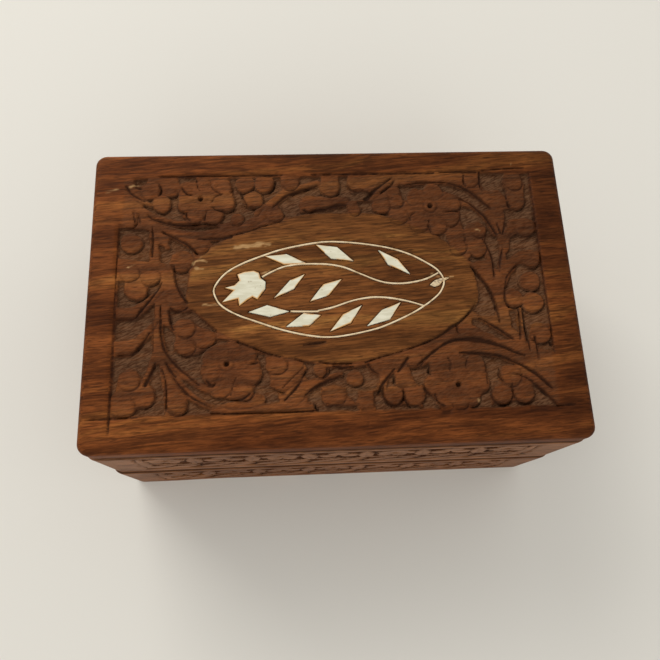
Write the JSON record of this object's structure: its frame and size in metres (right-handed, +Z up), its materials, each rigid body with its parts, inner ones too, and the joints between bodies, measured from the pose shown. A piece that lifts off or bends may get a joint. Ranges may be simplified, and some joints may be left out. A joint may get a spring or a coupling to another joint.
{
  "type": "jewelry box",
  "caption": "Hand-carved wooden jewelry box with a hinged lid, carved flowers and vines, a bone and wire inlay and a velvet lining.",
  "frame": {"origin": "middle of the closed box's footprint, on the surface it stands on", "axes": "+X along the long side to the right, +Y to the hinged back, +Z up"},
  "size_m": [0.15, 0.096, 0.074],
  "materials": {
    "carved_wood": "oiled, hand-carved",
    "plain_wood": "oiled, planed",
    "velvet": "short pile",
    "brass": "worn",
    "wire": "dull, rubbed flush",
    "bone": "polished bone"
  },
  "bodies": {
    "base": {"base_front": "carved_wood", "base_back": "plain_wood", "base_left": "carved_wood", "base_right": "carved_wood", "base_bottom": "plain_wood", "base_lining_floor": "velvet", "base_lining_front": "velvet", "base_lining_back": "velvet", "base_lining_left": "velvet", "base_lining_right": "velvet", "hinge_base_leaf_left": "brass", "hinge_base_leaf_right": "brass", "hinge_base_screws": "brass", "hinge_pin_left": "brass", "hinge_pin_right": "brass"},
    "lid": {"lid_panel": "carved_wood", "lid_rail_front": "carved_wood", "lid_rail_back": "plain_wood", "lid_rail_left": "carved_wood", "lid_rail_right": "carved_wood", "lid_lining_top": "velvet", "lid_lining_front": "velvet", "lid_lining_back": "velvet", "lid_lining_left": "velvet", "lid_lining_right": "velvet", "hinge_lid_leaf_left": "brass", "hinge_lid_leaf_right": "brass", "hinge_lid_screws": "brass", "inlay_oval_wire": "wire", "inlay_upper_stem": "wire", "inlay_lower_stem": "wire", "inlay_flower": "bone", "inlay_tip": "bone", "inlay_leaf_1": "bone", "inlay_leaf_2": "bone", "inlay_leaf_3": "bone", "inlay_leaf_4": "bone", "inlay_leaf_5": "bone", "inlay_leaf_6": "bone", "inlay_leaf_7": "bone", "inlay_leaf_8": "bone", "inlay_leaf_9": "bone"}
  },
  "joints": [
    {"name": "lid_hinge", "type": "hinge", "parent": "base", "child": "lid", "pos_m": [0, 0.046, 0.033], "axis": [-1, 0, 0], "range_deg": [0, 100]}
  ]
}
